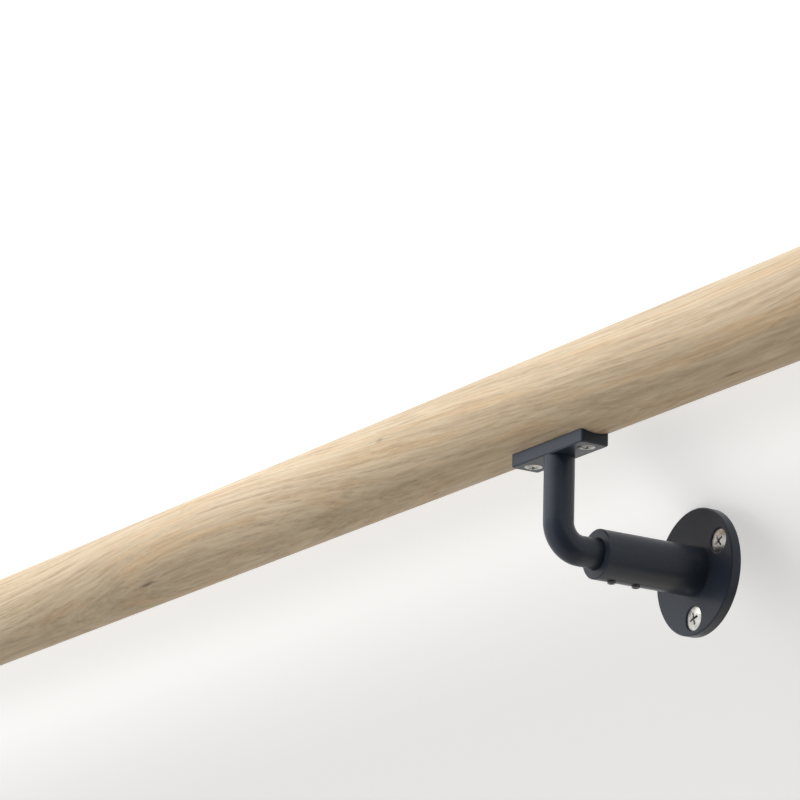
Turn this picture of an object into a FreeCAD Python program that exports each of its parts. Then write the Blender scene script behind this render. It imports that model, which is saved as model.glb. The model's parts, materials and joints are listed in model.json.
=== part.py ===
# A length of round oak handrail with two steel wall brackets screwed under it.
# Each bracket is a saddle plate, a bent round arm, a sleeve that holds the arm with two set screws,
# and a round wall flange.
# The pieces are modelled as they hang on a wall: X runs along the rail, +Y points to the wall, +Z is up,
# and the rail's axis passes through the origin. At the end they are turned to the way that the loose
# assembly lies on a floor: on the rail's side and on the rims of the flanges.

import FreeCAD, Part
import math
import os

os.makedirs("parts", exist_ok=True)

# Handrail, in millimetres
rail_diameter = 45.0
rail_length = 1500.0
rail_end_chamfer = 1.5
rail_overhang = 250.0

# Saddle plate, hollowed on top to the rail's curve
saddle_length = 58.0
saddle_width = 15.0
saddle_thickness = 5.0
saddle_corner_radius = 1.5
saddle_edge_chamfer = 0.6
saddle_seat_clearance = 0.05
saddle_screw_from_end = 7.5

# Screws that hold the saddle to the rail
wood_screw_diameter = 4.5
wood_screw_head_diameter = 8.4
wood_screw_length = 22.0
wood_screw_hole_clearance = 0.3
wood_screw_pilot_clearance = 0.05
wood_screw_recess_width = 1.1
wood_screw_recess_span = 4.6
wood_screw_recess_depth = 1.7

# Bent arm: down from the saddle, then level towards the wall
arm_diameter = 14.2
arm_drop = 69.5
arm_bend_radius = 12.0
arm_end_from_wall = 18.0
arm_seat_depth = 1.5

# Sleeve that the arm slides into, and the play between them
sleeve_diameter = 23.4
sleeve_from_bend = 8.6
sleeve_bore_clearance = 0.1
sleeve_mouth_chamfer = 0.5
sleeve_bore_chamfer = 0.4
sleeve_spigot_step = 2.0

# Wall flange and its countersunk screw holes
wall_distance = 80.0
flange_diameter = 60.0
flange_thickness = 5.0
flange_edge_chamfer = 0.6
flange_hole_from_rim = 8.0
flange_hole_count = 3
flange_hole_diameter = 6.4
flange_countersink_diameter = 12.4
flange_first_hole_angle = 30.0

# Set screws that clamp the arm in the sleeve, from below
set_screw_diameter = 4.0
set_screw_first = 8.8
set_screw_spacing = 13.4
set_screw_stand_out = 1.0
set_screw_thread_clearance = 0.05
set_screw_tip_clearance = 0.05
set_screw_socket_width = 2.0
set_screw_socket_depth = 2.0

# What follows from the sizes above
rail_radius = rail_diameter / 2
bracket_offset = rail_length / 2 - rail_overhang
saddle_screw_offset = saddle_length / 2 - saddle_screw_from_end
saddle_underside = -rail_radius - saddle_thickness
arm_radius = arm_diameter / 2
arm_axis_height = -arm_drop
arm_reach = wall_distance - arm_end_from_wall
bore_radius = arm_radius + sleeve_bore_clearance
sleeve_radius = sleeve_diameter / 2
sleeve_mouth = arm_bend_radius + sleeve_from_bend
spigot_radius = sleeve_radius - sleeve_spigot_step
flange_radius = flange_diameter / 2
flange_hole_circle_radius = flange_radius - flange_hole_from_rim
flange_face = wall_distance - flange_thickness
screw_hole_radius = wood_screw_diameter / 2 + wood_screw_hole_clearance
screw_head_radius = wood_screw_head_diameter / 2

along_rail = FreeCAD.Vector(1, 0, 0)
to_wall = FreeCAD.Vector(0, 1, 0)
up = FreeCAD.Vector(0, 0, 1)
down = FreeCAD.Vector(0, 0, -1)


def vector(x, y, z):
    return FreeCAD.Vector(x, y, z)


def turned(points, base, axis):
    # A profile of (radius, height) points turned about a line through base along axis.
    corners = [vector(radius, 0, height) for radius, height in points]
    face = Part.Face(Part.makePolygon(corners + corners[:1]))
    solid = face.revolve(vector(0, 0, 0), up, 360)
    solid.Placement = FreeCAD.Placement(base, FreeCAD.Rotation(up, axis))
    return solid


def circle_edges(solid, position, direction, radius):
    # The round edges of one radius in the plane at a position along a direction.
    found = []
    for edge in solid.Edges:
        if not isinstance(edge.Curve, Part.Circle):
            continue
        in_plane = abs(edge.Curve.Center.dot(direction) - position) < 0.01
        if in_plane and abs(edge.Curve.Radius - radius) < 0.01:
            found.append(edge)
    return found


def saddle_screw_places():
    return [-saddle_screw_offset, saddle_screw_offset]


def bracket_places():
    return [-bracket_offset, bracket_offset]


def wood_screw_body(base, clearance):
    # Countersunk head and straight shank, from the underside of the saddle upwards.
    shank = wood_screw_diameter / 2 + clearance
    head = screw_head_radius + clearance
    profile = [
        (0, 0),
        (head, 0),
        (shank, head - shank),
        (shank, wood_screw_length + clearance),
        (0, wood_screw_length + clearance),
    ]
    return turned(profile, base, up)


def cross_recess(base):
    # Two crossed slots with tapered floors for a cross-head screwdriver.
    half_width = wood_screw_recess_width / 2
    half_span = wood_screw_recess_span / 2
    corners = [
        vector(-half_span, 0, 0),
        vector(half_span, 0, 0),
        vector(half_width, 0, wood_screw_recess_depth),
        vector(-half_width, 0, wood_screw_recess_depth),
    ]
    face = Part.Face(Part.makePolygon(corners + corners[:1]))
    slot = face.extrude(vector(0, wood_screw_recess_width, 0))
    slot.translate(vector(0, -half_width, 0))
    other = slot.copy()
    other.rotate(vector(0, 0, 0), up, 90)
    recess = slot.fuse(other)
    recess.translate(base)
    return recess


def make_saddle_screw(x):
    base = vector(x, 0, saddle_underside)
    return wood_screw_body(base, 0).cut(cross_recess(base))


def make_handrail():
    # A round bar with chamfered ends and a pilot hole for each saddle screw.
    start = vector(-rail_length / 2, 0, 0)
    rail = Part.makeCylinder(rail_radius, rail_length, start, along_rail)
    ends = circle_edges(rail, -rail_length / 2, along_rail, rail_radius)
    ends += circle_edges(rail, rail_length / 2, along_rail, rail_radius)
    rail = rail.makeChamfer(rail_end_chamfer, ends)
    for bracket_x in bracket_places():
        for screw_x in saddle_screw_places():
            base = vector(bracket_x + screw_x, 0, saddle_underside)
            rail = rail.cut(wood_screw_body(base, wood_screw_pilot_clearance))
    return rail


def make_saddle_plate():
    # A bar with rounded corners, its top hollowed to the rail, countersunk from below, with a shallow
    # seat for the arm.
    bar = Part.makeBox(
        saddle_length,
        saddle_width,
        rail_radius + saddle_thickness,
        vector(-saddle_length / 2, -saddle_width / 2, saddle_underside),
    )
    bar = bar.makeFillet(saddle_corner_radius, corner_edges(bar))
    bar = bar.makeChamfer(saddle_edge_chamfer, underside_edges(bar))
    hollow_radius = rail_radius + saddle_seat_clearance
    hollow = Part.makeCylinder(hollow_radius, saddle_length * 2, vector(-saddle_length, 0, 0), along_rail)
    plate = bar.cut(hollow)
    seat = Part.makeCylinder(arm_radius, arm_seat_depth, vector(0, 0, saddle_underside), up)
    plate = plate.cut(seat)
    for screw_x in saddle_screw_places():
        plate = plate.cut(countersunk_hole(screw_x))
    return plate


def corner_edges(bar):
    # The four upright edges of a box.
    return [edge for edge in bar.Edges if abs(edge.Vertexes[0].Z - edge.Vertexes[1].Z) > 0.01]


def underside_edges(bar):
    return [edge for edge in bar.Edges if abs(edge.BoundBox.ZMax - saddle_underside) < 0.01]


def countersunk_hole(x):
    head = screw_head_radius + wood_screw_pilot_clearance
    profile = [
        (0, 0),
        (head, 0),
        (screw_hole_radius, head - screw_hole_radius),
        (screw_hole_radius, rail_radius),
        (0, rail_radius),
    ]
    return turned(profile, vector(x, 0, saddle_underside), up)


def make_support_arm():
    # A round bar carried along a line, a quarter bend and a second line.
    top = saddle_underside + arm_seat_depth
    bend_start = vector(0, 0, arm_axis_height + arm_bend_radius)
    bend_end = vector(0, arm_bend_radius, arm_axis_height)
    inset = arm_bend_radius * (1 - math.cos(math.radians(45)))
    bend_middle = vector(0, inset, arm_axis_height + inset)
    path = Part.Wire(
        [
            Part.LineSegment(vector(0, 0, top), bend_start).toShape(),
            Part.Arc(bend_start, bend_middle, bend_end).toShape(),
            Part.LineSegment(bend_end, vector(0, arm_reach, arm_axis_height)).toShape(),
        ]
    )
    section = Part.Wire(Part.makeCircle(arm_radius, vector(0, 0, top), down))
    return path.makePipeShell([section], True, False)


def set_screw_places():
    first = sleeve_mouth + set_screw_first
    return [first, first + set_screw_spacing]


def make_wall_sleeve():
    # A tube with a flat mouth, a turned-down end that seats in the flange, and a threaded hole for each
    # set screw.
    profile = [
        (bore_radius + sleeve_bore_chamfer, sleeve_mouth),
        (sleeve_radius - sleeve_mouth_chamfer, sleeve_mouth),
        (sleeve_radius, sleeve_mouth + sleeve_mouth_chamfer),
        (sleeve_radius, flange_face),
        (spigot_radius, flange_face),
        (spigot_radius, wall_distance),
        (bore_radius, wall_distance),
        (bore_radius, sleeve_mouth + sleeve_bore_chamfer),
    ]
    sleeve = turned(profile, vector(0, 0, arm_axis_height), to_wall)
    for y in set_screw_places():
        hole_radius = set_screw_diameter / 2
        base = vector(0, y, arm_axis_height)
        sleeve = sleeve.cut(Part.makeCylinder(hole_radius, sleeve_radius * 2, base, down))
    return sleeve


def make_set_screw(y):
    # A headless screw with a hexagon socket, from the arm's surface out past the sleeve.
    tip = arm_radius + set_screw_tip_clearance
    outer = sleeve_radius + set_screw_stand_out
    radius = set_screw_diameter / 2 - set_screw_thread_clearance
    screw = Part.makeCylinder(radius, outer - tip, vector(0, y, arm_axis_height - tip), down)
    corner_radius = set_screw_socket_width / math.sqrt(3)
    mouth = arm_axis_height - outer
    corners = []
    for step in range(6):
        angle = math.radians(60 * step)
        corners.append(vector(corner_radius * math.cos(angle), y + corner_radius * math.sin(angle), mouth))
    hexagon = Part.Face(Part.makePolygon(corners + corners[:1]))
    return screw.cut(hexagon.extrude(vector(0, 0, set_screw_socket_depth)))


def make_wall_flange():
    # A disc with a softened front edge, bored for the sleeve's spigot, with countersunk screw holes.
    centre = vector(0, flange_face, arm_axis_height)
    disc = Part.makeCylinder(flange_radius, flange_thickness, centre, to_wall)
    rim = circle_edges(disc, flange_face, to_wall, flange_radius)
    disc = disc.makeChamfer(flange_edge_chamfer, rim)
    disc = disc.cut(Part.makeCylinder(spigot_radius, flange_thickness, centre, to_wall))
    hole = flange_hole_diameter / 2
    sink = flange_countersink_diameter / 2
    profile = [
        (0, 0),
        (sink, 0),
        (hole, sink - hole),
        (hole, flange_thickness),
        (0, flange_thickness),
    ]
    for step in range(flange_hole_count):
        angle = math.radians(flange_first_hole_angle + 360 * step / flange_hole_count)
        x = flange_hole_circle_radius * math.cos(angle)
        z = arm_axis_height + flange_hole_circle_radius * math.sin(angle)
        disc = disc.cut(turned(profile, vector(x, flange_face, z), to_wall))
    return disc


def lying_turn():
    # The line that touches the rail and the flange's upper back edge becomes the floor.
    # From the rail's axis the edge lies at one angle, and the touching point of the rail is ahead of it
    # by the angle whose cosine is the rail's radius over the edge's distance.
    edge_height = arm_axis_height + flange_radius
    edge_distance = math.hypot(wall_distance, edge_height)
    edge_angle = math.degrees(math.atan2(edge_height, wall_distance))
    touch_angle = edge_angle + math.degrees(math.acos(rail_radius / edge_distance))
    return -90.0 - touch_angle


def laid_down(shapes):
    # Turn every piece about the rail's axis, then put the middle of the whole footprint at the origin.
    for shape in shapes.values():
        shape.rotate(vector(0, 0, 0), along_rail, lying_turn())
    box = Part.makeCompound(list(shapes.values())).optimalBoundingBox(False)
    shift = vector(-box.Center.x, -box.Center.y, -box.ZMin)
    for shape in shapes.values():
        shape.translate(shift)


def bracket_pieces():
    pieces = {
        "saddle_plate": make_saddle_plate(),
        "support_arm": make_support_arm(),
        "wall_sleeve": make_wall_sleeve(),
        "wall_flange": make_wall_flange(),
    }
    for number, x in enumerate(saddle_screw_places(), 1):
        pieces["saddle_screw_%d" % number] = make_saddle_screw(x)
    for number, y in enumerate(set_screw_places(), 1):
        pieces["set_screw_%d" % number] = make_set_screw(y)
    return pieces


def make_assembly():
    shapes = {"handrail": make_handrail()}
    for side, bracket_x in zip(("left", "right"), bracket_places()):
        for name, piece in bracket_pieces().items():
            placed = piece.copy()
            placed.translate(vector(bracket_x, 0, 0))
            shapes[side + "_" + name] = placed
    laid_down(shapes)
    return shapes


for node, shape in make_assembly().items():
    shape.exportStep("parts/" + node + ".step")
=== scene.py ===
import bpy
import json
import math
import numpy as np
from mathutils import Matrix, Vector


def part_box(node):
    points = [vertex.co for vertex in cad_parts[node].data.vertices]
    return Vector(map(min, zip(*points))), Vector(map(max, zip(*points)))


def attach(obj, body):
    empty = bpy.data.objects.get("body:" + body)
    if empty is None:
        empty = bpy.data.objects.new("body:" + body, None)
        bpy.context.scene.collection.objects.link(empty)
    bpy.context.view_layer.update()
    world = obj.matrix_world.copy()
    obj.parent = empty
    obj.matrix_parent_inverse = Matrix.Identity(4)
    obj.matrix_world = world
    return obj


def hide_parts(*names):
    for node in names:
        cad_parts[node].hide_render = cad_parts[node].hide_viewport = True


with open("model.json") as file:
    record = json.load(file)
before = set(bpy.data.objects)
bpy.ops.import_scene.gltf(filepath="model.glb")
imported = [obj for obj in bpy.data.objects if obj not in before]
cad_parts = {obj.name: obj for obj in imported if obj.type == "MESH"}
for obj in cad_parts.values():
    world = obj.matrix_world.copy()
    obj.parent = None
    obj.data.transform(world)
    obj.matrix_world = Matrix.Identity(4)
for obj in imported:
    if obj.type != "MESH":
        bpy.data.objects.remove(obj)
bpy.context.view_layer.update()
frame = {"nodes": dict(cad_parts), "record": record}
record = frame["record"]
nodes = frame["nodes"]
sides = ("left", "right")
mmInMetre = 1000.0
print("frame loaded:", len(nodes), "pieces")


def mountNamed(name):
    # The record's entry for one mount
    return next(mount for mount in record["mounts"] if mount["name"] == name)


# The rail as it hangs on a wall: along it, towards the wall, and up. The part itself lies on the floor.
alongRail = np.array([1.0, 0.0, 0.0])
toWall = np.array(mountNamed("right_wall_face")["axis"], float)
upOnWall = np.cross(alongRail, toWall)
wallAxes = np.array([alongRail, toWall, upOnWall])
railLow, railHigh = (np.array(corner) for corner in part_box("handrail"))
railMiddle = (railLow + railHigh) / 2
railRadius = (railHigh[2] - railLow[2]) / 2
bracketPoint = {}
for side in sides:
    bracketPoint[side] = railMiddle + alongRail * mountNamed(side + "_wall_face")["pos_m"][0]


def asHung(points, origin):
    # Points given as (along, to the wall, up) from an origin, brought into the frame of the lying part
    return np.asarray(origin) + np.asarray(points) @ wallAxes


def hungExtent(nodeName, origin):
    # Lowest and highest (along, to the wall, up) of a piece's own points, measured from an origin
    mesh = nodes[nodeName].data
    points = np.empty(len(mesh.vertices) * 3, np.float32)
    mesh.vertices.foreach_get("co", points)
    local = (points.reshape(-1, 3) - origin) @ wallAxes.T
    return local.min(0), local.max(0)


# Camera, placed by a fit to the outlines in the photo, as seen from the bracket on the hung rail
cameraSettings = {
    "azimuth": 58.613,
    "elevation": -16.068,
    "roll": 1.568,
    "distance": 2.147619,
    "aim": (-0.140397, 0.0, 0.032074),
    "focalPixels": 4440.4,
    "imagePixels": 800.0,
    "sensorWidth": 36.0,
    "clipStart": 0.05,
}


def makeCamera(settings):
    # It looks back along a direction given by azimuth and elevation, and is then rolled about that line
    azimuth, elevation, roll = (math.radians(settings[key]) for key in ("azimuth", "elevation", "roll"))
    outward = np.array([
        math.sin(azimuth) * math.cos(elevation),
        -math.cos(azimuth) * math.cos(elevation),
        math.sin(elevation),
    ])
    place = asHung(np.array(settings["aim"]) + settings["distance"] * outward, bracketPoint["right"])
    right = np.cross(-outward, [0, 0, 1])
    right /= np.linalg.norm(right)
    over = np.cross(right, -outward)
    rolledRight = math.cos(roll) * right + math.sin(roll) * over
    rolledOver = math.cos(roll) * over - math.sin(roll) * right
    turn = np.array([rolledRight, rolledOver, outward]) @ wallAxes
    camera = bpy.data.objects.new("camera", bpy.data.cameras.new("camera"))
    camera.data.sensor_width = settings["sensorWidth"]
    camera.data.lens = settings["focalPixels"] / settings["imagePixels"] * settings["sensorWidth"]
    camera.data.clip_start = settings["clipStart"]
    camera.matrix_world = Matrix.Translation(Vector(place)) @ Matrix(turn.T).to_4x4()
    bpy.context.scene.collection.objects.link(camera)
    bpy.context.scene.camera = camera


makeCamera(cameraSettings)
print("camera set")


# Surfaces from grids of points
def gridMesh(name, points, poles=None):
    # points[i, j] is row i and column j, and four neighbours make one face. With poles, the columns close
    # round and a triangle fan joins the first and last rows to the two pole points. A face points
    # outwards where the way along a row, crossed with the way to the next row, does.
    rows, columns = points.shape[:2]
    index = np.arange(rows * columns).reshape(rows, columns)
    after = np.roll(index, -1, axis=1) if poles else index[:, 1:]
    before = index if poles else index[:, :-1]
    quads = np.stack([before[:-1], after[:-1], after[1:], before[1:]], axis=-1).reshape(-1, 4)
    corners = points.reshape(-1, 3)
    loops = quads.reshape(-1)
    sizes = np.full(len(quads), 4)
    if poles:
        firstPole, lastPole = rows * columns, rows * columns + 1
        firstFan = np.stack([np.full(columns, firstPole), after[0], before[0]], axis=-1)
        lastFan = np.stack([before[-1], after[-1], np.full(columns, lastPole)], axis=-1)
        corners = np.concatenate([corners, np.array(poles, float)])
        loops = np.concatenate([loops, firstFan.reshape(-1), lastFan.reshape(-1)])
        sizes = np.concatenate([sizes, np.full(2 * columns, 3)])
    mesh = bpy.data.meshes.new(name)
    mesh.vertices.add(len(corners))
    mesh.vertices.foreach_set("co", corners.reshape(-1).astype(np.float32))
    mesh.loops.add(len(loops))
    mesh.loops.foreach_set("vertex_index", loops.astype(np.int32))
    mesh.polygons.add(len(sizes))
    starts = np.concatenate([[0], np.cumsum(sizes)[:-1]])
    mesh.polygons.foreach_set("loop_start", starts.astype(np.int32))
    mesh.polygons.foreach_set("use_smooth", np.ones(len(sizes), bool))
    mesh.update()
    mesh.validate()
    return mesh


def squareTo(outward):
    # A direction square to the outward one: also square to the rail, unless outward runs along the rail
    runsAlong = abs(outward[0]) > 0.9
    first = np.cross(outward, [0.0, 1.0, 0.0] if runsAlong else alongRail)
    return first / np.linalg.norm(first)


def evenAngles(count):
    # Angles in equal steps round one full turn
    return np.linspace(0, 2 * np.pi, count, endpoint=False)


def turnedGrid(profile, around, outward, origin, first, inset=0.0):
    # A profile of (radius, height) pairs, ordered so that height rises, turned about the outward axis
    # from a first direction on. The inset is taken off the radius, point by point.
    second = np.cross(outward, first)
    angle = evenAngles(around)
    spoke = np.cos(angle)[:, None] * first + np.sin(angle)[:, None] * second
    radius = profile[:, 0, None] - inset
    return origin + radius[:, :, None] * spoke + profile[:, 1, None, None] * outward


def roundedCorner(fromPoint, corner, toPoint, radius, steps):
    # Arc of a radius that touches the two straight runs meeting at a profile's corner
    corner = np.array(corner, float)
    into = np.array(fromPoint, float) - corner
    away = np.array(toPoint, float) - corner
    into /= np.linalg.norm(into)
    away /= np.linalg.norm(away)
    half = math.acos(np.clip(into @ away, -1, 1)) / 2
    middle = corner + (into + away) / np.linalg.norm(into + away) * radius / math.sin(half)
    begin = corner + into * radius / math.tan(half) - middle
    end = corner + away * radius / math.tan(half) - middle
    share = np.linspace(0, 1, steps)[:, None]
    arc = begin * (1 - share) + end * share
    return middle + arc / np.linalg.norm(arc, axis=1)[:, None] * radius


def smoothStep(share):
    # Rises from 0 to 1 with level ends: three times the square less twice the cube
    return share * share * (3 - 2 * share)


def addPiece(name, mesh, material, replaced=()):
    # Every piece rides on the one body, and stands in for the plain nodes that it replaces
    piece = bpy.data.objects.new(name, mesh)
    bpy.context.scene.collection.objects.link(piece)
    mesh.materials.append(material)
    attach(piece, "root")
    if replaced:
        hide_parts(*replaced)


# Node helpers
def newMaterial(name):
    material = bpy.data.materials.new(name)
    material.use_nodes = True
    tree = material.node_tree
    return material, tree, tree.nodes["Principled BSDF"]


def addNode(tree, kind, settings=None, values=None):
    # A value that is another node's output is linked, and any other is set on the input
    node = tree.nodes.new(kind)
    for key, value in (settings or {}).items():
        setattr(node, key, value)
    for key, value in (values or {}).items():
        if isinstance(value, bpy.types.NodeSocket):
            tree.links.new(value, node.inputs[key])
        else:
            node.inputs[key].default_value = value
    return node


def objectPlace(tree):
    return addNode(tree, "ShaderNodeTexCoord").outputs["Object"]


def mathNode(tree, operation, first, second=0.0, third=0.0, clamp=False):
    settings = {"operation": operation, "use_clamp": clamp}
    return addNode(tree, "ShaderNodeMath", settings, {0: first, 1: second, 2: third}).outputs[0]


def times(tree, first, second):
    return mathNode(tree, "MULTIPLY", first, second)


def timesPlus(tree, first, second, added):
    # first times second, plus what is added
    return mathNode(tree, "MULTIPLY_ADD", first, second, added)


def vectorNode(tree, operation, first, second=(0.0, 0.0, 0.0), third=(0.0, 0.0, 0.0)):
    # Length and dot product give a number, the other operations a vector
    values = {0: first, 1: second, 2: third}
    node = addNode(tree, "ShaderNodeVectorMath", {"operation": operation}, values)
    return node.outputs["Value" if operation in ("LENGTH", "DOT_PRODUCT") else "Vector"]


def rangeNode(tree, value, low, high, toLow=0.0, toHigh=1.0):
    # Goes smoothly from toLow at low to toHigh at high, and is level beyond them. Low may be the larger.
    values = {0: value, 1: low, 2: high, 3: toLow, 4: toHigh}
    return addNode(tree, "ShaderNodeMapRange", {"interpolation_type": "SMOOTHSTEP"}, values).outputs[0]


def mixColour(tree, share, first, second):
    # The first colour, with the second in its place by the share
    values = {0: share, 6: first, 7: second}
    return addNode(tree, "ShaderNodeMix", {"data_type": "RGBA", "blend_type": "MIX"}, values).outputs[2]


def noiseNode(tree, vector, scale, detail, roughness=0.5):
    values = {"Vector": vector, "Scale": scale, "Detail": detail, "Roughness": roughness}
    return addNode(tree, "ShaderNodeTexNoise", None, values).outputs["Fac"]


def combine(tree, x, y, z):
    return addNode(tree, "ShaderNodeCombineXYZ", None, {0: x, 1: y, 2: z}).outputs[0]


def separate(tree, vector):
    return addNode(tree, "ShaderNodeSeparateXYZ", None, {0: vector}).outputs


def bumpNormal(tree, shader, height, strength, distance):
    # The height, times the distance, tilts the shading and leaves the surface as it is
    values = {"Strength": strength, "Distance": distance, "Height": height}
    bump = addNode(tree, "ShaderNodeBump", None, values)
    tree.links.new(bump.outputs[0], shader.inputs["Normal"])


# Making marks that every finish shares, in metres: broad cloudy patches, fine specks, and a pebbled
# height such as sprayed and plated skins have. Each finish sets the three sizes for itself.
surfaceSettings = {
    "Patch Size": {
        "output": "Patches", "size": 0.03, "detail": 3.0, "roughness": 0.6, "between": (0.32, 0.68)},
    "Speck Size": {
        "output": "Specks", "size": 0.002, "detail": 2.0, "roughness": 0.5, "between": (0.50, 0.72)},
    "Pebble Size": {
        "output": "Pebbles", "size": 0.001, "detail": 1.0, "roughness": 0.4, "between": (0.25, 0.75)},
}


def makeSurfaceGroup(settings):
    # A node group with one noise for each mark, as coarse as its size says and spread over the full range
    tree = bpy.data.node_groups.new("surface variation", "ShaderNodeTree")
    tree.interface.new_socket("Place", in_out="INPUT", socket_type="NodeSocketVector")
    for label, mark in settings.items():
        size = tree.interface.new_socket(label, in_out="INPUT", socket_type="NodeSocketFloat")
        size.default_value = mark["size"]
        tree.interface.new_socket(mark["output"], in_out="OUTPUT", socket_type="NodeSocketFloat")
    source = tree.nodes.new("NodeGroupInput")
    result = tree.nodes.new("NodeGroupOutput")
    for label, mark in settings.items():
        scale = mathNode(tree, "DIVIDE", 1.0, source.outputs[label])
        noise = noiseNode(tree, source.outputs["Place"], scale, mark["detail"], mark["roughness"])
        tree.links.new(rangeNode(tree, noise, *mark["between"]), result.inputs[mark["output"]])
    return tree


surfaceGroup = makeSurfaceGroup(surfaceSettings)


def surfaceMarks(tree, place, sizes):
    # The shared group's three outputs at a finish's own sizes
    values = {"Place": place, **sizes}
    return addNode(tree, "ShaderNodeGroup", {"node_tree": surfaceGroup}, values).outputs


# Oak: growth rings about a pith line outside the rail, which swings towards the rail and away again, so
# that the rings run out along it in long arches. All lengths are millimetres.
oakSettings = {
    "barkAngle": 112.0,
    "pithDistance": 64.0,
    "archHeight": 15.0,
    "archPlace": 205.0,
    "archWidth": 165.0,
    "pithWander": 34.0,
    "wanderLength": 420.0,
    "wanderSpot": (3.7, 8.1),
    "wanderDetail": 1.0,
    "swayLengths": (140.0, 26.0, 26.0),
    "sway": (0.0, 5.0, 5.0),
    "swayDetail": 3.0,
    "ringWidth": 2.7,
    "ringUneven": 7.0,
    # noises over (along the rail, out from the pith, round the pith), with how often each repeats in a
    # millimetre
    "patterns": {
        "uneven": {"repeats": (0.0012, 0.16, 0.02), "detail": 2.0, "roughness": 0.5},
        "fibre": {"repeats": (0.008, 0.55, 0.42), "detail": 5.0, "roughness": 0.68},
        "thread": {"repeats": (0.035, 1.7, 2.2), "detail": 2.0, "roughness": 0.6},
        "streak": {"repeats": (0.030, 0.70, 0.75), "detail": 3.0, "roughness": 0.6},
        "vessel": {"repeats": (0.075, 1.8, 2.5), "detail": 1.0, "roughness": 0.5},
        "ray": {"repeats": (0.16, 0.09, 2.4), "detail": 0.0, "roughness": 0.5},
        "tone": {"repeats": (1 / 210, 1 / 9, 1 / 14), "detail": 3.0, "roughness": 0.55},
        "warmth": {"repeats": (1 / 105, 1 / 4.5, 1 / 7), "detail": 3.0, "roughness": 0.5,
                   "shift": (62.0, 14.0, 38.0)},
    },
    # shares of a year's growth: open pores come first and dense wood after
    "yearRamps": {
        "earlyRise": (0.0, 0.12),
        "earlyFall": (0.46, 0.16),
        "lateRise": (0.40, 0.92),
        "lateFall": (1.0, 0.93),
    },
    "vesselBetween": (0.54, 0.74),
    "poresInEarly": 0.88,
    "poresElsewhere": 0.14,
    "rayBetween": (0.66, 0.74),
    "base": (0.488, 0.379, 0.247, 1.0),
    "pale": (0.597, 0.478, 0.323, 1.0),
    "warm": (0.570, 0.385, 0.210, 1.0),
    "late": (0.352, 0.254, 0.154, 1.0),
    "pore": (0.225, 0.165, 0.105, 1.0),
    "knot": (0.120, 0.085, 0.055, 1.0),
    # tints laid over the base one by one: which pattern, between which of its values, how much, and which
    # tint
    "layers": [
        ("tone", (0.34, 0.68), 1.0, "pale"),
        ("warmth", (0.48, 0.66), 0.72, "warm"),
        ("late wood", None, 0.30, "late"),
        ("fibre", (0.40, 0.68), 0.60, "late"),
        ("streak", (0.52, 0.70), 0.62, "late"),
        ("streak", (0.47, 0.30), 0.62, "pale"),
        ("thread", (0.42, 0.70), 0.20, "pale"),
        ("early wood", None, 0.14, "pore"),
        ("pores", None, 0.34, "pore"),
        ("rays", None, 0.22, "pale"),
    ],
    "knotEdge": (1.0, 0.15),
    "knotRagged": (0.35, 0.60, 0.25, 1.0),
    "knots": [
        {"along": 136.0, "angle": 95.0, "length": 15.0, "width": 1.5, "depth": 0.75},
        {"along": 378.0, "angle": 31.0, "length": 4.5, "width": 1.8, "depth": 0.60},
        {"along": 640.0, "angle": 118.0, "length": 9.0, "width": 1.3, "depth": 0.55},
        {"along": -265.0, "angle": 60.0, "length": 7.0, "width": 2.0, "depth": 0.65},
        {"along": -520.0, "angle": 215.0, "length": 11.0, "width": 1.6, "depth": 0.60},
        {"along": -40.0, "angle": 290.0, "length": 6.0, "width": 2.2, "depth": 0.65},
    ],
    "surface": {"Patch Size": 0.05, "Speck Size": 0.003, "Pebble Size": 0.0006},
    "fibreRoughness": (0.3, 0.7, 0.44, 0.56),
    "patchRoughness": 0.08,
    "poreRoughness": 0.25,
    "threadHeight": 0.45,
    "bumpStrength": 0.5,
    "bumpDistance": 0.00009,
    "specular": 0.38,
}


def ringSpot(tree, inMm, settings):
    # Where a point lies in the log, after a slow sway of the whole figure: along it, out from the pith,
    # and round the pith as an arc's length. Bark and square are its places towards the bark and square to
    # that. The pith lies at a steady distance, plus a broad bump at one place along the rail, plus a slow
    # wander, and the arc's length is the angle round the pith at the steady distance.
    swaySpace = vectorNode(tree, "MULTIPLY", inMm, [1 / length for length in settings["swayLengths"]])
    swayNoise = addNode(tree, "ShaderNodeTexNoise", None, {
        "Vector": swaySpace, "Scale": 1.0, "Detail": settings["swayDetail"]})
    sway = vectorNode(tree, "SUBTRACT", swayNoise.outputs["Color"], (0.5, 0.5, 0.5))
    along, across, up = separate(tree, vectorNode(tree, "MULTIPLY_ADD", sway, settings["sway"], inMm))
    barkAngle = math.radians(settings["barkAngle"])
    barkY, barkZ = math.cos(barkAngle), math.sin(barkAngle)
    bark = timesPlus(tree, up, barkZ, times(tree, across, barkY))
    square = timesPlus(tree, up, -barkY, times(tree, across, barkZ))
    fromArch = mathNode(tree, "SUBTRACT", along, settings["archPlace"])
    fromArch = mathNode(tree, "DIVIDE", fromArch, settings["archWidth"])
    arch = mathNode(tree, "EXPONENT", times(tree, times(tree, fromArch, fromArch), -1.0))
    wanderSpace = combine(tree, times(tree, along, 1 / settings["wanderLength"]), *settings["wanderSpot"])
    wander = mathNode(tree, "SUBTRACT", noiseNode(tree, wanderSpace, 1.0, settings["wanderDetail"]), 0.5)
    pith = timesPlus(tree, arch, settings["archHeight"], settings["pithDistance"])
    pith = timesPlus(tree, wander, settings["pithWander"], pith)
    depth = mathNode(tree, "ADD", bark, pith)
    radius = mathNode(tree, "SQRT", timesPlus(tree, depth, depth, times(tree, square, square)))
    turn = times(tree, mathNode(tree, "ARCTAN2", square, depth), settings["pithDistance"])
    return along, radius, turn


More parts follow.
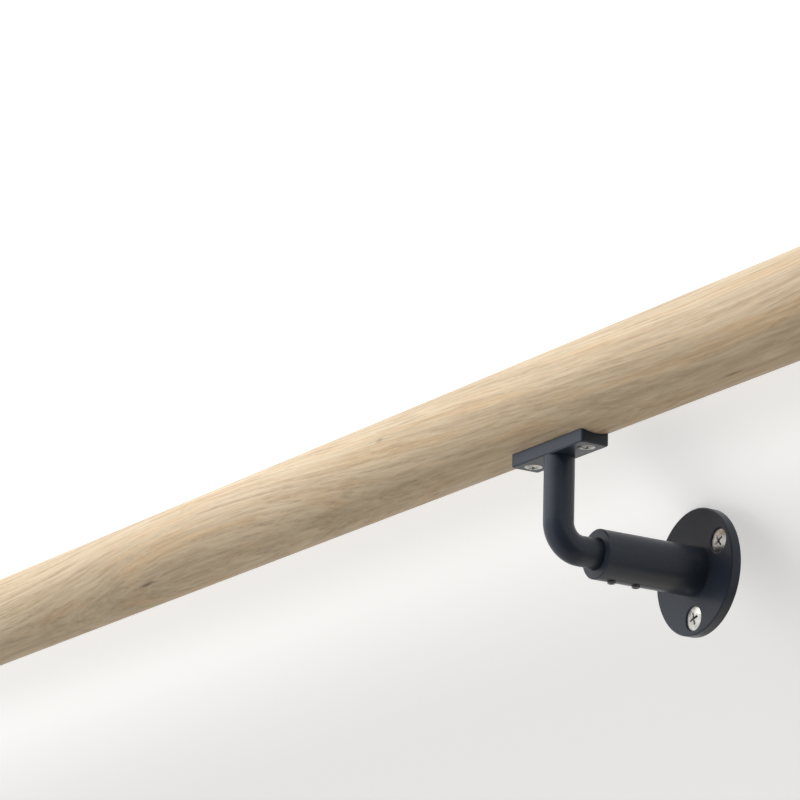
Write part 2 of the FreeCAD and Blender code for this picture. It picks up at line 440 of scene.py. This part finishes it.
def patternNoise(tree, spot, pattern):
    # Noise over the spot in the log, with each direction stretched by its repeats, and shifted where it
    # would otherwise follow another pattern
    shift = pattern.get("shift", (0.0, 0.0, 0.0))
    space = vectorNode(tree, "MULTIPLY_ADD", spot, pattern["repeats"], shift)
    return noiseNode(tree, space, 1.0, pattern["detail"], pattern["roughness"])


def knotMarks(tree, inMm, settings):
    # Small dark knots and mineral marks: each is a soft spot on the rail's skin, drawn out along the rail.
    # Its strength falls with the distance from its middle, in shares of its length and width.
    marks = 0.0
    radius = railRadius * mmInMetre
    for knot in settings["knots"]:
        angle = math.radians(knot["angle"])
        centre = (knot["along"], radius * math.cos(angle), radius * math.sin(angle))
        offset = vectorNode(tree, "SUBTRACT", inMm, centre)
        scaled = vectorNode(tree, "DIVIDE", offset, (knot["length"], knot["width"], knot["width"]))
        distance = vectorNode(tree, "LENGTH", scaled)
        mark = rangeNode(tree, distance, *settings["knotEdge"], 0.0, knot["depth"])
        marks = mathNode(tree, "MAXIMUM", mark, marks)
    return marks


def makeOak(settings):
    # Years are the distance from the pith over a ring's width, made uneven by noise. The share of a year
    # says how open the wood is. Fibres, pores and rays are noises that keep to the rings.
    material, tree, shader = newMaterial("oiled oak")
    place = objectPlace(tree)
    fromAxis = vectorNode(tree, "SUBTRACT", place, (0.0, float(railMiddle[1]), float(railMiddle[2])))
    inMm = vectorNode(tree, "MULTIPLY", fromAxis, [mmInMetre] * 3)
    along, radius, turn = ringSpot(tree, inMm, settings)
    spot = combine(tree, along, radius, turn)
    masks = {name: patternNoise(tree, spot, pattern) for name, pattern in settings["patterns"].items()}
    unevenRadius = timesPlus(tree, masks["uneven"], settings["ringUneven"], radius)
    year = mathNode(tree, "FRACT", mathNode(tree, "DIVIDE", unevenRadius, settings["ringWidth"]))
    ramps = {key: rangeNode(tree, year, *between) for key, between in settings["yearRamps"].items()}
    early = times(tree, ramps["earlyRise"], ramps["earlyFall"])
    late = times(tree, ramps["lateRise"], ramps["lateFall"])
    openness = timesPlus(tree, early, settings["poresInEarly"], settings["poresElsewhere"])
    pores = times(tree, rangeNode(tree, masks["vessel"], *settings["vesselBetween"]), openness)
    rays = rangeNode(tree, masks["ray"], *settings["rayBetween"])
    masks.update({"early wood": early, "late wood": late, "pores": pores, "rays": rays})
    colour = settings["base"]
    for name, between, share, tint in settings["layers"]:
        mask = masks[name]
        amount = rangeNode(tree, mask, *between, 0.0, share) if between else times(tree, mask, share)
        colour = mixColour(tree, amount, colour, settings[tint])
    ragged = rangeNode(tree, masks["fibre"], *settings["knotRagged"])
    knots = times(tree, knotMarks(tree, inMm, settings), ragged)
    colour = mixColour(tree, knots, colour, settings["knot"])
    tree.links.new(colour, shader.inputs["Base Color"])
    patches = surfaceMarks(tree, place, settings["surface"])["Patches"]
    rough = rangeNode(tree, masks["fibre"], *settings["fibreRoughness"])
    rough = timesPlus(tree, patches, settings["patchRoughness"], rough)
    rough = timesPlus(tree, pores, settings["poreRoughness"], rough)
    tree.links.new(rough, shader.inputs["Roughness"])
    height = mathNode(tree, "SUBTRACT", times(tree, masks["thread"], settings["threadHeight"]), pores)
    bumpNormal(tree, shader, height, settings["bumpStrength"], settings["bumpDistance"])
    shader.inputs["Specular IOR Level"].default_value = settings["specular"]
    return material


oak = makeOak(oakSettings)

# Anthracite powder coat: nearly black, satin, with a fine pebbled skin
coatSettings = {
    "base": (0.0236, 0.0312, 0.0482, 1.0),
    "thin": (0.0308, 0.0398, 0.0578, 1.0),
    "speckShare": 0.35,
    "patchShare": 0.65,
    "roughness": (0.30, 0.38),
    "specular": 0.29,
    "surface": {"Patch Size": 0.024, "Speck Size": 0.0016, "Pebble Size": 0.0016},
    "bumpStrength": 0.6,
    "bumpDistance": 0.000012,
}


def makeCoat(settings):
    # Specks and patches together say how thin the coat is, and patches how dull
    material, tree, shader = newMaterial("anthracite powder coat")
    marks = surfaceMarks(tree, objectPlace(tree), settings["surface"])
    thin = timesPlus(tree, marks["Specks"], settings["speckShare"],
                     times(tree, marks["Patches"], settings["patchShare"]))
    colour = mixColour(tree, thin, settings["base"], settings["thin"])
    tree.links.new(colour, shader.inputs["Base Color"])
    rough = rangeNode(tree, marks["Patches"], 0.0, 1.0, *settings["roughness"])
    tree.links.new(rough, shader.inputs["Roughness"])
    bumpNormal(tree, shader, marks["Pebbles"], settings["bumpStrength"], settings["bumpDistance"])
    shader.inputs["Specular IOR Level"].default_value = settings["specular"]
    return material


coat = makeCoat(coatSettings)

# Zinc plate on the screws: bright, a little yellowed and clouded, with turned rings on the heads and
# painted shade in the cross recesses
zincSettings = {
    "base": (0.50, 0.495, 0.47, 1.0),
    "bright": (0.72, 0.715, 0.69, 1.0),
    "recess": (0.10, 0.095, 0.08, 1.0),
    "ringPitch": 0.00022,
    "ringShare": 0.10,
    "speckShare": 0.30,
    "recessShare": 0.85,
    "roughness": (0.24, 0.40),
    "surface": {"Patch Size": 0.0045, "Speck Size": 0.0005, "Pebble Size": 0.0003},
    "ringHeight": 0.5,
    "bumpStrength": 0.35,
    "bumpDistance": 0.00001,
}


def makeZinc(settings):
    # The rings are a sine of the distance from the head's middle. Both that distance and the depth in the
    # recess are attributes of the screws' own meshes.
    material, tree, shader = newMaterial("zinc plate")
    marks = surfaceMarks(tree, objectPlace(tree), settings["surface"])
    turned = addNode(tree, "ShaderNodeAttribute", {"attribute_name": "turnedRadius"}).outputs["Fac"]
    sunken = addNode(tree, "ShaderNodeAttribute", {"attribute_name": "recessDepth"}).outputs["Fac"]
    rings = mathNode(tree, "SINE", times(tree, turned, 2 * math.pi / settings["ringPitch"]))
    tone = mathNode(tree, "MULTIPLY_ADD", rings, settings["ringShare"], marks["Patches"], clamp=True)
    colour = mixColour(tree, tone, settings["base"], settings["bright"])
    specks = times(tree, marks["Specks"], settings["speckShare"])
    colour = mixColour(tree, specks, colour, settings["recess"])
    # Painted shade: the deeper a point lies in the recess, the more it takes the dark colour that the
    # specks also use
    recessShade = mathNode(tree, "MULTIPLY", sunken, settings["recessShare"], clamp=True)
    tree.links.new(mixColour(tree, recessShade, colour, settings["recess"]), shader.inputs["Base Color"])
    rough = rangeNode(tree, marks["Patches"], 0.0, 1.0, *settings["roughness"])
    tree.links.new(rough, shader.inputs["Roughness"])
    height = timesPlus(tree, rings, settings["ringHeight"], marks["Pebbles"])
    bumpNormal(tree, shader, height, settings["bumpStrength"], settings["bumpDistance"])
    shader.inputs["Metallic"].default_value = 1.0
    return material


zinc = makeZinc(zincSettings)

# Black oxide on the set screws, rubbed a little paler
oxideSettings = {
    "base": (0.130, 0.132, 0.138, 1.0),
    "rubbed": (0.210, 0.208, 0.203, 1.0),
    "speckShare": 0.4,
    "patchShare": 0.3,
    "roughness": (0.30, 0.46),
    "metallic": 0.6,
    "surface": {"Patch Size": 0.003, "Speck Size": 0.0006, "Pebble Size": 0.0004},
    "bumpStrength": 0.4,
    "bumpDistance": 0.00001,
}


def makeOxide(settings):
    # Specks and patches together say how far it is rubbed, and patches how dull it is
    material, tree, shader = newMaterial("black oxide steel")
    marks = surfaceMarks(tree, objectPlace(tree), settings["surface"])
    rubbed = timesPlus(tree, marks["Specks"], settings["speckShare"],
                       times(tree, marks["Patches"], settings["patchShare"]))
    colour = mixColour(tree, rubbed, settings["base"], settings["rubbed"])
    tree.links.new(colour, shader.inputs["Base Color"])
    rough = rangeNode(tree, marks["Patches"], 0.0, 1.0, *settings["roughness"])
    tree.links.new(rough, shader.inputs["Roughness"])
    bumpNormal(tree, shader, marks["Pebbles"], settings["bumpStrength"], settings["bumpDistance"])
    shader.inputs["Metallic"].default_value = settings["metallic"]
    return material


oxide = makeOxide(oxideSettings)
finishes = {"oak": oak, "bracket_coating": coat, "screw_steel": zinc, "set_screw_steel": oxide}
for subpart in record["subparts"]:
    nodeObject = nodes[subpart["node"]]
    nodeObject.data.materials.clear()
    nodeObject.data.materials.append(finishes[subpart["material_slot"]])
print("finishes made")

# Handrail
handrailSettings = {
    "around": 180,
    "lengthSteps": 75,
    "endRound": 0.0016,
    "roundSteps": 7,
    "faceRings": 12,
}


def makeHandrail(settings):
    # A profile from one end's middle, over its rounded rim, along the rail and round the other end,
    # turned about the rail's axis
    half = (railHigh[0] - railLow[0]) / 2
    edge = settings["endRound"]
    rim = roundedCorner((0.0, half), (railRadius, half), (railRadius, 0.0), edge, settings["roundSteps"])
    face = np.linspace(0.0, railRadius - edge, settings["faceRings"] + 1)[1:-1]
    flat = np.stack([face, np.full(len(face), half)], axis=1)
    places = np.linspace(-half + edge, half - edge, settings["lengthSteps"])[1:-1]
    side = np.stack([np.full(len(places), railRadius), places], axis=1)
    farEnd = np.concatenate([flat, rim])
    nearEnd = farEnd * [1.0, -1.0]
    profile = np.concatenate([nearEnd, side, farEnd[::-1]])
    grid = turnedGrid(profile, settings["around"], alongRail, railMiddle, squareTo(alongRail))
    poles = [railMiddle - half * alongRail, railMiddle + half * alongRail]
    addPiece("handrailSurface", gridMesh("handrailSurface", grid, poles), oak, ["handrail"])


makeHandrail(handrailSettings)
print("handrail made")

# Countersunk screws with a cross recess
crossSettings = {
    "around": 96,
    "topRings": 30,
    "endShare": 0.5,
    "underSteps": 4,
    "upperSteps": 5,
    "rimRows": 2,
    "armHalfWidth": 0.00048,
    "armLength": 0.52,
    "coreShare": 1.25,
    "recessDepth": 0.0020,
    "recessRise": 0.62,
    "wallSlope": 0.00030,
    "edgeHeight": 0.00035,
    "edgeRound": 0.00016,
}


def crossDepth(x, y, headRadius, settings):
    # How deep the recess is at a point of the head: full in a round core, less deep towards the ends of
    # two crossed bars, nothing outside them, and a steep slope between
    reach = settings["armLength"] * headRadius
    width = settings["armHalfWidth"]
    fromMiddle = np.hypot(x, y)
    firstBar = np.minimum(width - np.abs(y), reach - np.abs(x))
    secondBar = np.minimum(width - np.abs(x), reach - np.abs(y))
    core = settings["coreShare"] * width - fromMiddle
    inside = np.maximum(np.maximum(firstBar, secondBar), core)
    wall = smoothStep(np.clip(inside / settings["wallSlope"] + 0.5, 0, 1))
    rise = settings["recessRise"] * np.clip(fromMiddle / reach, 0, 1) ** 2
    return settings["recessDepth"] * wall * (1 - rise)


def addScrew(name, profile, topRow, depthAt, around, centre, outward, turn, look, inset=0.0):
    # Polar surface: rows run from the cut end up over the rim to the middle of the top. From topRow on,
    # each point sinks by the recess's depth there. look is (material, slot, replaced pieces); the slot is
    # not used.
    first = squareTo(outward)
    start = math.cos(turn) * first + math.sin(turn) * np.cross(outward, first)
    grid = turnedGrid(profile, around, outward, centre, start, inset)
    angle = evenAngles(around)
    depth = depthAt(profile[:, 0, None] * np.cos(angle), profile[:, 0, None] * np.sin(angle))
    depth = depth * (np.arange(len(profile)) >= topRow)[:, None]
    middleDepth = float(depthAt(np.zeros(1), np.zeros(1))[0])
    poles = [centre + profile[0, 1] * outward, centre + (profile[-1, 1] - middleDepth) * outward]
    mesh = gridMesh(name, grid - depth[:, :, None] * outward, poles)
    radii = np.concatenate([np.repeat(profile[:, 0], around), [0.0, 0.0]])
    sunken = np.concatenate([depth.reshape(-1), [0.0, middleDepth]]) / middleDepth
    for label, values in (("turnedRadius", radii), ("recessDepth", sunken)):
        attribute = mesh.attributes.new(label, "FLOAT", "POINT")
        attribute.data.foreach_set("value", values.astype(np.float32))
    material, slot, replaced = look
    addPiece(name, mesh, material, replaced)


def makeCrossScrew(name, centre, outward, headRadius, length, turn, kind, settings, replaced=()):
    # The profile runs up the shank, the cone under the head and the rounded rim, and over a crown that is
    # highest in the middle. centre is the middle of the rim's top, and kind has the shank and the crown.
    edge, rounding = settings["edgeHeight"], settings["edgeRound"]
    shankRadius, dome = kind["shankRadius"], kind["dome"]
    neck = -edge - (headRadius - shankRadius)
    under = roundedCorner(
        (shankRadius, neck), (headRadius, -edge), (headRadius, 0.0), rounding, settings["underSteps"])
    upper = roundedCorner(
        (headRadius, -edge), (headRadius, 0.0), (0.0, dome), rounding, settings["upperSteps"])
    shank = [(shankRadius * settings["endShare"], -length)]
    shank += [(shankRadius, height) for height in (-length, (neck - length) / 2, neck)]
    topRadii = np.linspace(upper[-1, 0], 0.0, settings["topRings"] + 1)[1:-1]
    topHeights = upper[-1, 1] + (dome - upper[-1, 1]) * (1 - (topRadii / upper[-1, 0]) ** 2)
    profile = np.concatenate([shank, under, upper, np.stack([topRadii, topHeights], axis=1)])
    topRow = len(shank) + len(under) + settings["rimRows"]
    addScrew(
        name, profile, topRow, lambda x, y: crossDepth(x, y, headRadius, settings),
        settings["around"], centre, outward, turn, (zinc, "screw_steel", replaced))


def screwSeat(nodeName):
    # A plain screw's radius and length, and the middle of its top, which faces down on the hung rail
    side = nodeName.split("_")[0]
    low, high = hungExtent(nodeName, bracketPoint[side])
    middle = asHung([(low[0] + high[0]) / 2, (low[1] + high[1]) / 2, low[2]], bracketPoint[side])
    return (high[0] - low[0]) / 2, high[2] - low[2], middle


# Saddle screws stand where the plain ones of the frame are. Their crowned heads rise a little from the
# plate.
saddleScrewSettings = {
    "length": 0.0215,
    "shankRadius": 0.0021,
    "dome": 0.0007,
    "turns": {"left_saddle_screw_1": 0.35, "left_saddle_screw_2": 1.10,
              "right_saddle_screw_1": 0.62, "right_saddle_screw_2": 0.20},
}
for nodeName, turn in saddleScrewSettings["turns"].items():
    headRadius, _, rimMiddle = screwSeat(nodeName)
    makeCrossScrew(
        nodeName.replace("_saddle_screw_", "SaddleScrew"), rimMiddle, -upOnWall, headRadius,
        saddleScrewSettings["length"], turn, saddleScrewSettings, crossSettings, [nodeName])

# Set screws in the underside of each sleeve: threaded, with a hexagon socket
setScrewSettings = {
    "around": 72,
    "endShare": 0.4,
    "chamfer": 0.00035,
    "pitch": 0.0007,
    "threadDepth": 0.00028,
    "threadStep": 0.00009,
    "socketHalfWidth": 0.0010,
    "socketDepth": 0.0019,
    "wallSlope": 0.00010,
    "topRings": 30,
    "turns": {"left_set_screw_1": 0.4, "left_set_screw_2": 0.9,
              "right_set_screw_1": 0.2, "right_set_screw_2": 0.7},
}


def hexagonDepth(x, y, settings):
    # How deep the socket is at a point of the top: full where the point is nearer than the half width to
    # the middle across all three pairs of flats, with a steep slope at the edge
    slanted = np.maximum(np.abs(x + math.sqrt(3) * y), np.abs(x - math.sqrt(3) * y)) / 2
    across = np.maximum(np.abs(x), slanted)
    wall = np.clip((settings["socketHalfWidth"] - across) / settings["wallSlope"] + 0.5, 0, 1)
    return settings["socketDepth"] * smoothStep(wall)


def makeSetScrew(nodeName, turn, settings):
    # A bar with bevelled ends and a helical groove, which runs once round in each pitch of its length
    radius, length, middle = screwSeat(nodeName)
    bevel = settings["chamfer"]
    rows = np.linspace(-length + bevel, -bevel, int(length / settings["threadStep"]))
    body = np.stack([np.full(len(rows), radius), rows], axis=1)
    rings = np.linspace(radius - bevel, 0.0, settings["topRings"] + 1)[:-1]
    top = np.stack([rings, np.zeros(len(rings))], axis=1)
    cutEnd = [(radius * settings["endShare"], -length), (radius - bevel, -length)]
    profile = np.concatenate([cutEnd, body, top])
    turns = evenAngles(settings["around"]) / (2 * np.pi)
    turnShare = (profile[:, 1, None] / settings["pitch"] - turns) % 1.0
    groove = settings["threadDepth"] * (1 - np.abs(2 * turnShare - 1))
    fromEnds = np.minimum(profile[:, 1] + length, -profile[:, 1])
    threaded = np.clip((fromEnds - bevel) / bevel, 0, 1)
    addScrew(
        nodeName.replace("_set_screw_", "SetScrew"), profile, len(cutEnd) + len(body),
        lambda x, y: hexagonDepth(x, y, settings), settings["around"], middle, -upOnWall, turn,
        (oxide, "set_screw_steel", [nodeName]), groove * threaded[:, None])


for nodeName, turn in setScrewSettings["turns"].items():
    makeSetScrew(nodeName, turn, setScrewSettings)

# Wall screws, three in each flange, seated in its countersinks. What would go into the wall is left off.
wallScrewSettings = {
    "headRadius": 0.0056,
    "shankRadius": 0.0025,
    "firstAngle": 30.0,
    "countersinkRadius": 0.0062,
    "dome": 0.0006,
    "seatGap": 0.00004,
    "turns": {"left": (0.9, 0.3, 1.3), "right": (0.55, 1.2, 0.25)},
}


def makeWallScrews(side, settings):
    # Each head rests on the countersink's cone: its rim is as far below the flange's face as it is
    # narrower than the cone's mouth
    mount = mountNamed(side + "_wall_screws")
    pattern = np.array(mount["pos_m"])
    circle = mount["dims"]["pcd_mm"] / mmInMetre / 2
    low, high = hungExtent(side + "_wall_flange", pattern)
    rimDepth = settings["countersinkRadius"] - settings["headRadius"] + settings["seatGap"]
    length = high[1] - low[1] - rimDepth
    for number, turn in enumerate(settings["turns"][side]):
        angle = math.radians(settings["firstAngle"] + number * 360 / mount["dims"]["count"])
        spoke = [circle * math.cos(angle), low[1] + rimDepth, circle * math.sin(angle)]
        makeCrossScrew(
            f"{side}WallScrew{number + 1}", asHung(spoke, pattern), -toWall, settings["headRadius"],
            length, turn, settings, crossSettings)


for side in sides:
    makeWallScrews(side, wallScrewSettings)
print("screws made")

# Floor and light
floorSettings = {
    "size": 9.0,
    "colour": (0.62, 0.62, 0.62, 1.0),
    "roughness": 0.85,
    "glowDim": (0.395, 0.394, 0.390, 1.0),
    "glowBright": (1.27, 1.27, 1.27, 1.0),
    "unlit": (0.0, 0.0, 0.0, 1.0),
    "glowReach": (-0.115, 0.20),
    "glowSlant": -0.02,
    # The shade entries paint a soft shadow into the floor's glow, in a band along the rail
    "shadeDepth": 0.26,
    "shadeFarSide": (-0.028, 0.012),
    "shadeNearSide": (0.068, 0.034),
    "shadeEnd": (0.80, 0.68),
}


def makeFloor(settings):
    # It glows as a light source, dimly on one side of the rail and brightly on the other, less a band of
    # painted shadow that keeps along the rail and ends with it
    edge = np.array([-settings["size"], settings["size"]]) / 2
    grid = np.zeros((2, 2, 3))
    grid[:, :, 0] = edge[None, :]
    grid[:, :, 1] = edge[:, None]
    mesh = gridMesh("floor", grid)
    floor = bpy.data.objects.new("floor", mesh)
    bpy.context.scene.collection.objects.link(floor)
    material, tree, shader = newMaterial("pale floor")
    shader.inputs["Base Color"].default_value = settings["colour"]
    shader.inputs["Roughness"].default_value = settings["roughness"]
    along, across, _ = separate(tree, objectPlace(tree))
    slanted = timesPlus(tree, along, settings["glowSlant"], across)
    glow = rangeNode(tree, slanted, *settings["glowReach"])
    glowing = mixColour(tree, glow, settings["glowDim"], settings["glowBright"])
    # Painted shadow: the glow is mixed towards black in a soft band along the rail, which fades out past
    # its ends
    farSide = rangeNode(tree, across, *settings["shadeFarSide"])
    nearSide = rangeNode(tree, across, *settings["shadeNearSide"])
    within = rangeNode(tree, mathNode(tree, "ABSOLUTE", along), *settings["shadeEnd"])
    paintedShadowBand = times(tree, times(tree, farSide, nearSide), within)
    shade = times(tree, paintedShadowBand, settings["shadeDepth"])
    tree.links.new(mixColour(tree, shade, glowing, settings["unlit"]), shader.inputs["Emission Color"])
    shader.inputs["Emission Strength"].default_value = 1.0
    mesh.materials.append(material)


makeFloor(floorSettings)

lightSettings = {
    "worldBright": 1.06,
    "worldDim": 0.27,
    "brightWay": (-0.35, 0.80, 0.48),
    "worldBetween": (-0.7, 0.9),
    "brightTint": (1.0, 0.995, 0.985, 1.0),
    "dimTint": (1.0, 0.950, 0.865, 1.0),
    "tintBetween": (-0.5, 0.5),
    "darkWay": (0.832, 0.176, 0.526),
    "darkShare": 0.10,
    "darkEdge": (0.42, 0.90),
    "areas": [
        {"name": "key", "place": (-0.25, 2.2, 0.27), "aim": (0.35, 0.0, 0.05),
         "size": (2.0, 0.5), "power": 27.0, "tint": (1.0, 1.0, 1.0)},
        {"name": "fill", "place": (0.35, -3.4, 1.07), "aim": (0.35, 0.0, 0.03),
         "size": (4.4, 1.6), "power": 20.0, "tint": (1.0, 0.90, 0.74)},
    ],
}


def makeWorld(settings):
    # A soft wall of light on one side and dimmer on the other, and darker still behind the camera
    world = bpy.data.worlds.new("studio")
    bpy.context.scene.world = world
    world.use_nodes = True
    tree = world.node_tree
    background = tree.nodes["Background"]
    way = addNode(tree, "ShaderNodeTexCoord").outputs["Generated"]
    facing = vectorNode(tree, "DOT_PRODUCT", way, settings["brightWay"])
    dim, bright = settings["worldDim"], settings["worldBright"]
    strength = rangeNode(tree, facing, *settings["worldBetween"], dim, bright)
    behind = vectorNode(tree, "DOT_PRODUCT", way, settings["darkWay"])
    shade = rangeNode(tree, behind, *settings["darkEdge"], 1.0, settings["darkShare"])
    share = rangeNode(tree, facing, *settings["tintBetween"])
    tint = mixColour(tree, share, settings["dimTint"], settings["brightTint"])
    tree.links.new(tint, background.inputs["Color"])
    tree.links.new(times(tree, strength, shade), background.inputs["Strength"])


def makeLamps(areas):
    # Broad low lamps, each facing from its place to its aim
    for area in areas:
        light = bpy.data.lights.new(area["name"], "AREA")
        light.shape = "RECTANGLE"
        light.size, light.size_y = area["size"]
        light.energy = area["power"]
        light.color = area["tint"]
        lamp = bpy.data.objects.new(area["name"], light)
        bpy.context.scene.collection.objects.link(lamp)
        place = Vector(area["place"])
        facing = (place - Vector(area["aim"])).to_track_quat("Z", "Y").to_matrix()
        lamp.matrix_world = Matrix.Translation(place) @ facing.to_4x4()


makeWorld(lightSettings)
makeLamps(lightSettings["areas"])
bpy.context.scene.view_settings.view_transform = "Standard"
print("floor and lights made")
